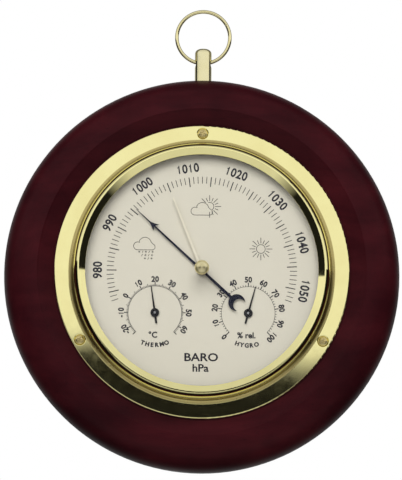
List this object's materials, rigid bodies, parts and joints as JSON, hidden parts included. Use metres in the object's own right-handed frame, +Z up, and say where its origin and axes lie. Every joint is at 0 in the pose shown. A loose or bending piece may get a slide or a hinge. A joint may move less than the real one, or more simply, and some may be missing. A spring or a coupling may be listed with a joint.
{
  "type": "wall aneroid barometer",
  "caption": "Round wall weather station: dark turned wood ring, brass flange and bezel, glazed dial with barometer, thermometer and hygrometer hands, setting knob and hanging ring.",
  "frame": {"origin": "centre of the flat annular back of the wooden case, in the plane of the wall", "axes": "+Z up, the dial faces -Y, +X to the viewer's right"},
  "size_m": [0.21, 0.049, 0.2494],
  "materials": {
    "mahogany": "dark stain under gloss lacquer",
    "polished_brass": "polished and lacquered",
    "brass_wire": "drawn wire",
    "brass_screws": "bright",
    "turned_brass": "turned",
    "pale_brass_hand": "thin pale lacquered brass",
    "movement_brass": "satin",
    "clear_glass": "clear flat glass",
    "spacer_card": "dark card",
    "dial_face": "printed satin paint",
    "dial_ink": "screen-printed ink",
    "blued_steel": "blue-black",
    "black_hand": "black",
    "steel_arbor": "turned",
    "spring_steel": "tempered",
    "steel_screws": "nickelled",
    "capsule_alloy": "plated bronze",
    "bimetal": "bimetal strip",
    "hygro_strip": "coated strip"
  },
  "bodies": {
    "case": {"case_ring": "mahogany", "hanging_post": "polished_brass", "instrument_can": "polished_brass", "bezel_ring": "polished_brass", "flange_screws": "brass_screws", "spacer_ring": "spacer_card", "glass": "clear_glass", "dial": "dial_face", "glass_bush": "turned_brass", "hairspring": "spring_steel", "hairspring_stud": "movement_brass", "shaft_bearings": "movement_brass", "base_plate": "movement_brass", "mid_plate": "movement_brass", "front_plate": "movement_brass", "long_pillars": "movement_brass", "short_pillars": "movement_brass", "back_screws": "steel_screws", "mid_screws": "steel_screws", "front_screws": "steel_screws", "capsule_rear": "capsule_alloy", "capsule_front": "capsule_alloy", "capsule_carrier": "spring_steel", "carrier_screws": "steel_screws", "thermometer_cage": "movement_brass", "thermometer_coil": "bimetal", "hygrometer_cage": "movement_brass", "hygrometer_coil": "hygro_strip"},
    "ring": {"hanging_ring": "brass_wire"},
    "setter": {"set_shaft": "turned_brass", "set_knob": "turned_brass", "set_hand": "pale_brass_hand"},
    "indicator": {"barometer_hand": "blued_steel", "hand_hub": "blued_steel", "pinion_arbor": "steel_arbor"},
    "sector": {"sector_gear": "movement_brass", "sector_arbor": "steel_arbor"},
    "rocker": {"rocking_shaft": "steel_arbor"},
    "capsule_top": {"capsule_stud": "movement_brass"},
    "adjuster": {"adjusting_screw": "steel_screws"},
    "thermometer": {"thermometer_spindle": "steel_arbor", "thermometer_hand": "black_hand"},
    "hygrometer": {"hygrometer_spindle": "steel_arbor", "hygrometer_hand": "black_hand"}
  },
  "joints": [
    {"name": "ring_swing", "type": "hinge", "parent": "case", "child": "ring", "pos_m": [0, -0.0164, 0.11445], "axis": [1, 0, 0], "range_deg": [-127, 135]},
    {"name": "set_knob_turn", "type": "hinge", "parent": "case", "child": "setter", "pos_m": [0, 0, 0], "axis": [0, 1, 0], "continuous": true},
    {"name": "barometer_hand_turn", "type": "hinge", "parent": "case", "child": "indicator", "pos_m": [0, 0, 0], "axis": [0, 1, 0], "range_deg": [-61.97, 156.43], "deforming": ["hairspring"]},
    {"name": "sector_turn", "type": "hinge", "parent": "case", "child": "sector", "pos_m": [0.0035, 0, 0.01857], "axis": [0, 1, 0], "range_deg": [-19.75, 7.95]},
    {"name": "shaft_rock", "type": "hinge", "parent": "case", "child": "rocker", "pos_m": [0.0035, -0.019, 0], "axis": [0, 0, 1], "range_deg": [-13.56, 5.49]},
    {"name": "capsule_travel", "type": "slide", "parent": "case", "child": "capsule_top", "axis": [0, 1, 0], "range_m": [-0.00033, 0.00083], "deforming": ["capsule_front"]},
    {"name": "zero_screw_turn", "type": "hinge", "parent": "case", "child": "adjuster", "pos_m": [0, 0, 0], "axis": [0, 1, 0], "range_deg": [-360, 360]},
    {"name": "thermometer_hand_turn", "type": "hinge", "parent": "case", "child": "thermometer", "pos_m": [-0.0244, 0, -0.0224], "axis": [0, 1, 0], "range_deg": [-126.6, 143.4], "deforming": ["thermometer_coil"]},
    {"name": "hygrometer_hand_turn", "type": "hinge", "parent": "case", "child": "hygrometer", "pos_m": [0.0244, 0, -0.0224], "axis": [0, 1, 0], "range_deg": [-150.12, 119.88], "deforming": ["hygrometer_coil"]}
  ],
  "couplings": [
    {"joint": "sector_turn", "follows": "barometer_hand_turn", "ratio": -0.125},
    {"joint": "shaft_rock", "follows": "barometer_hand_turn", "ratio": -0.085417},
    {"joint": "capsule_travel", "follows": "barometer_hand_turn", "m_per_rad": 0.00029896}
  ]
}
